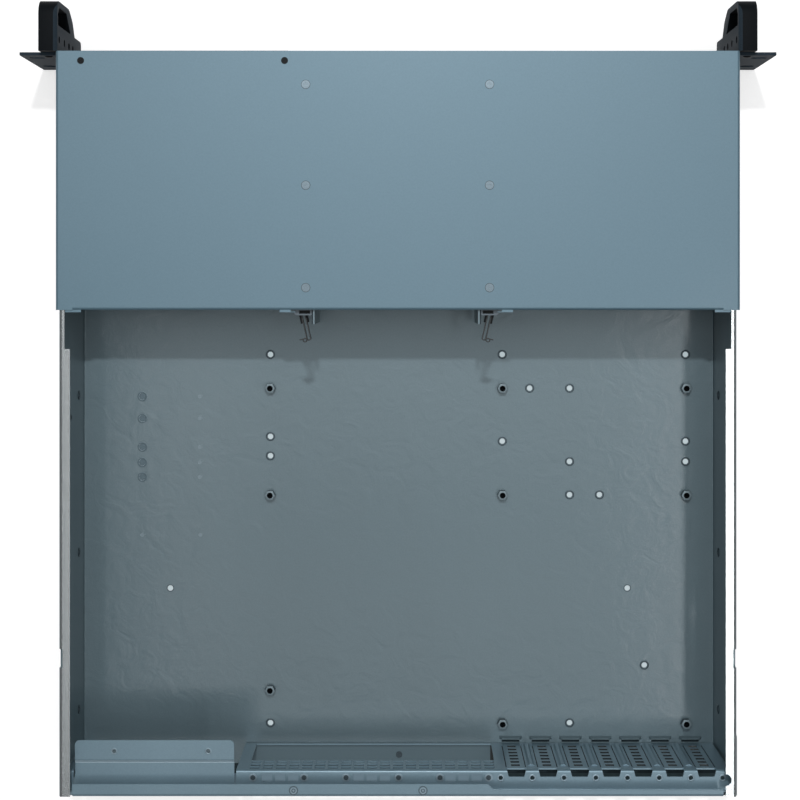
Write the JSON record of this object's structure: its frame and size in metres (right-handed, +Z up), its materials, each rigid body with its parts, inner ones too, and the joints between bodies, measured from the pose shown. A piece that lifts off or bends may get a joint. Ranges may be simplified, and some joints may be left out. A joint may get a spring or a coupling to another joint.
{
  "type": "empty rackmount server case",
  "caption": "Low rackmount server chassis, empty, with its rear lid off: zinc-plated tray and fixed front cover, black ears with grip handles, drive cage latches and slotted rear panel.",
  "frame": {"origin": "bottom centre of the whole case, ears and handles included", "axes": "+X to the right seen from the front, +Y from the front to the rear, +Z up"},
  "size_m": [0.4826, 0.5056, 0.0881],
  "materials": {
    "galvanised_sheet": "satin zinc-plated sheet",
    "black_paint": "fine matt black powder coat",
    "black_plastic": "matt moulded",
    "spring_steel": "dull tempered strip",
    "bright_steel": "bright plated",
    "lens": "frosted clear"
  },
  "bodies": {
    "case": {"bay_cover_1": "black_plastic", "bay_cover_2": "black_plastic", "bay_cover_3": "black_plastic", "cage_plate_left": "galvanised_sheet", "cage_plate_right": "galvanised_sheet", "chassis_tray": "galvanised_sheet", "control_housing": "black_plastic", "drive_lens": "lens", "front_cover": "galvanised_sheet", "front_panel": "black_paint", "handle_left": "black_paint", "handle_right": "black_paint", "intake_grille": "black_paint", "latch_bracket_left": "galvanised_sheet", "latch_bracket_right": "galvanised_sheet", "latch_pin_left": "bright_steel", "latch_pin_right": "bright_steel", "network_lens": "lens", "power_lens": "lens", "psu_hold_down_plate": "galvanised_sheet", "rack_ear_left": "black_paint", "rack_ear_right": "black_paint", "rear_panel": "galvanised_sheet", "standoffs": "bright_steel", "usb_port_1": "bright_steel", "usb_port_2": "bright_steel"},
    "power_button": {"power_button": "black_plastic"},
    "reset_button": {"reset_button": "black_plastic"},
    "latch_left": {"latch_hub_left": "black_plastic", "latch_lever_left": "spring_steel"},
    "latch_right": {"latch_hub_right": "black_plastic", "latch_lever_right": "spring_steel"}
  },
  "joints": [
    {"name": "power_press", "type": "slide", "parent": "case", "child": "power_button", "axis": [0, 1, 0], "range_m": [0, 0.0012], "stiffness_N_per_m": 400, "springref_m": -0.0005},
    {"name": "reset_press", "type": "slide", "parent": "case", "child": "reset_button", "axis": [0, 1, 0], "range_m": [0, 0.0008], "stiffness_N_per_m": 400, "springref_m": -0.0005},
    {"name": "latch_left_squeeze", "type": "hinge", "parent": "case", "child": "latch_left", "pos_m": [-0.0575, -0.0609, 0.074], "axis": [0, 0, -1], "range_deg": [0, 8], "stiffness_Nm_per_rad": 0.4, "springref_deg": -5.73},
    {"name": "latch_right_squeeze", "type": "hinge", "parent": "case", "child": "latch_right", "pos_m": [0.0595, -0.0609, 0.074], "axis": [0, 0, 1], "range_deg": [0, 8], "stiffness_Nm_per_rad": 0.4, "springref_deg": -5.73}
  ]
}
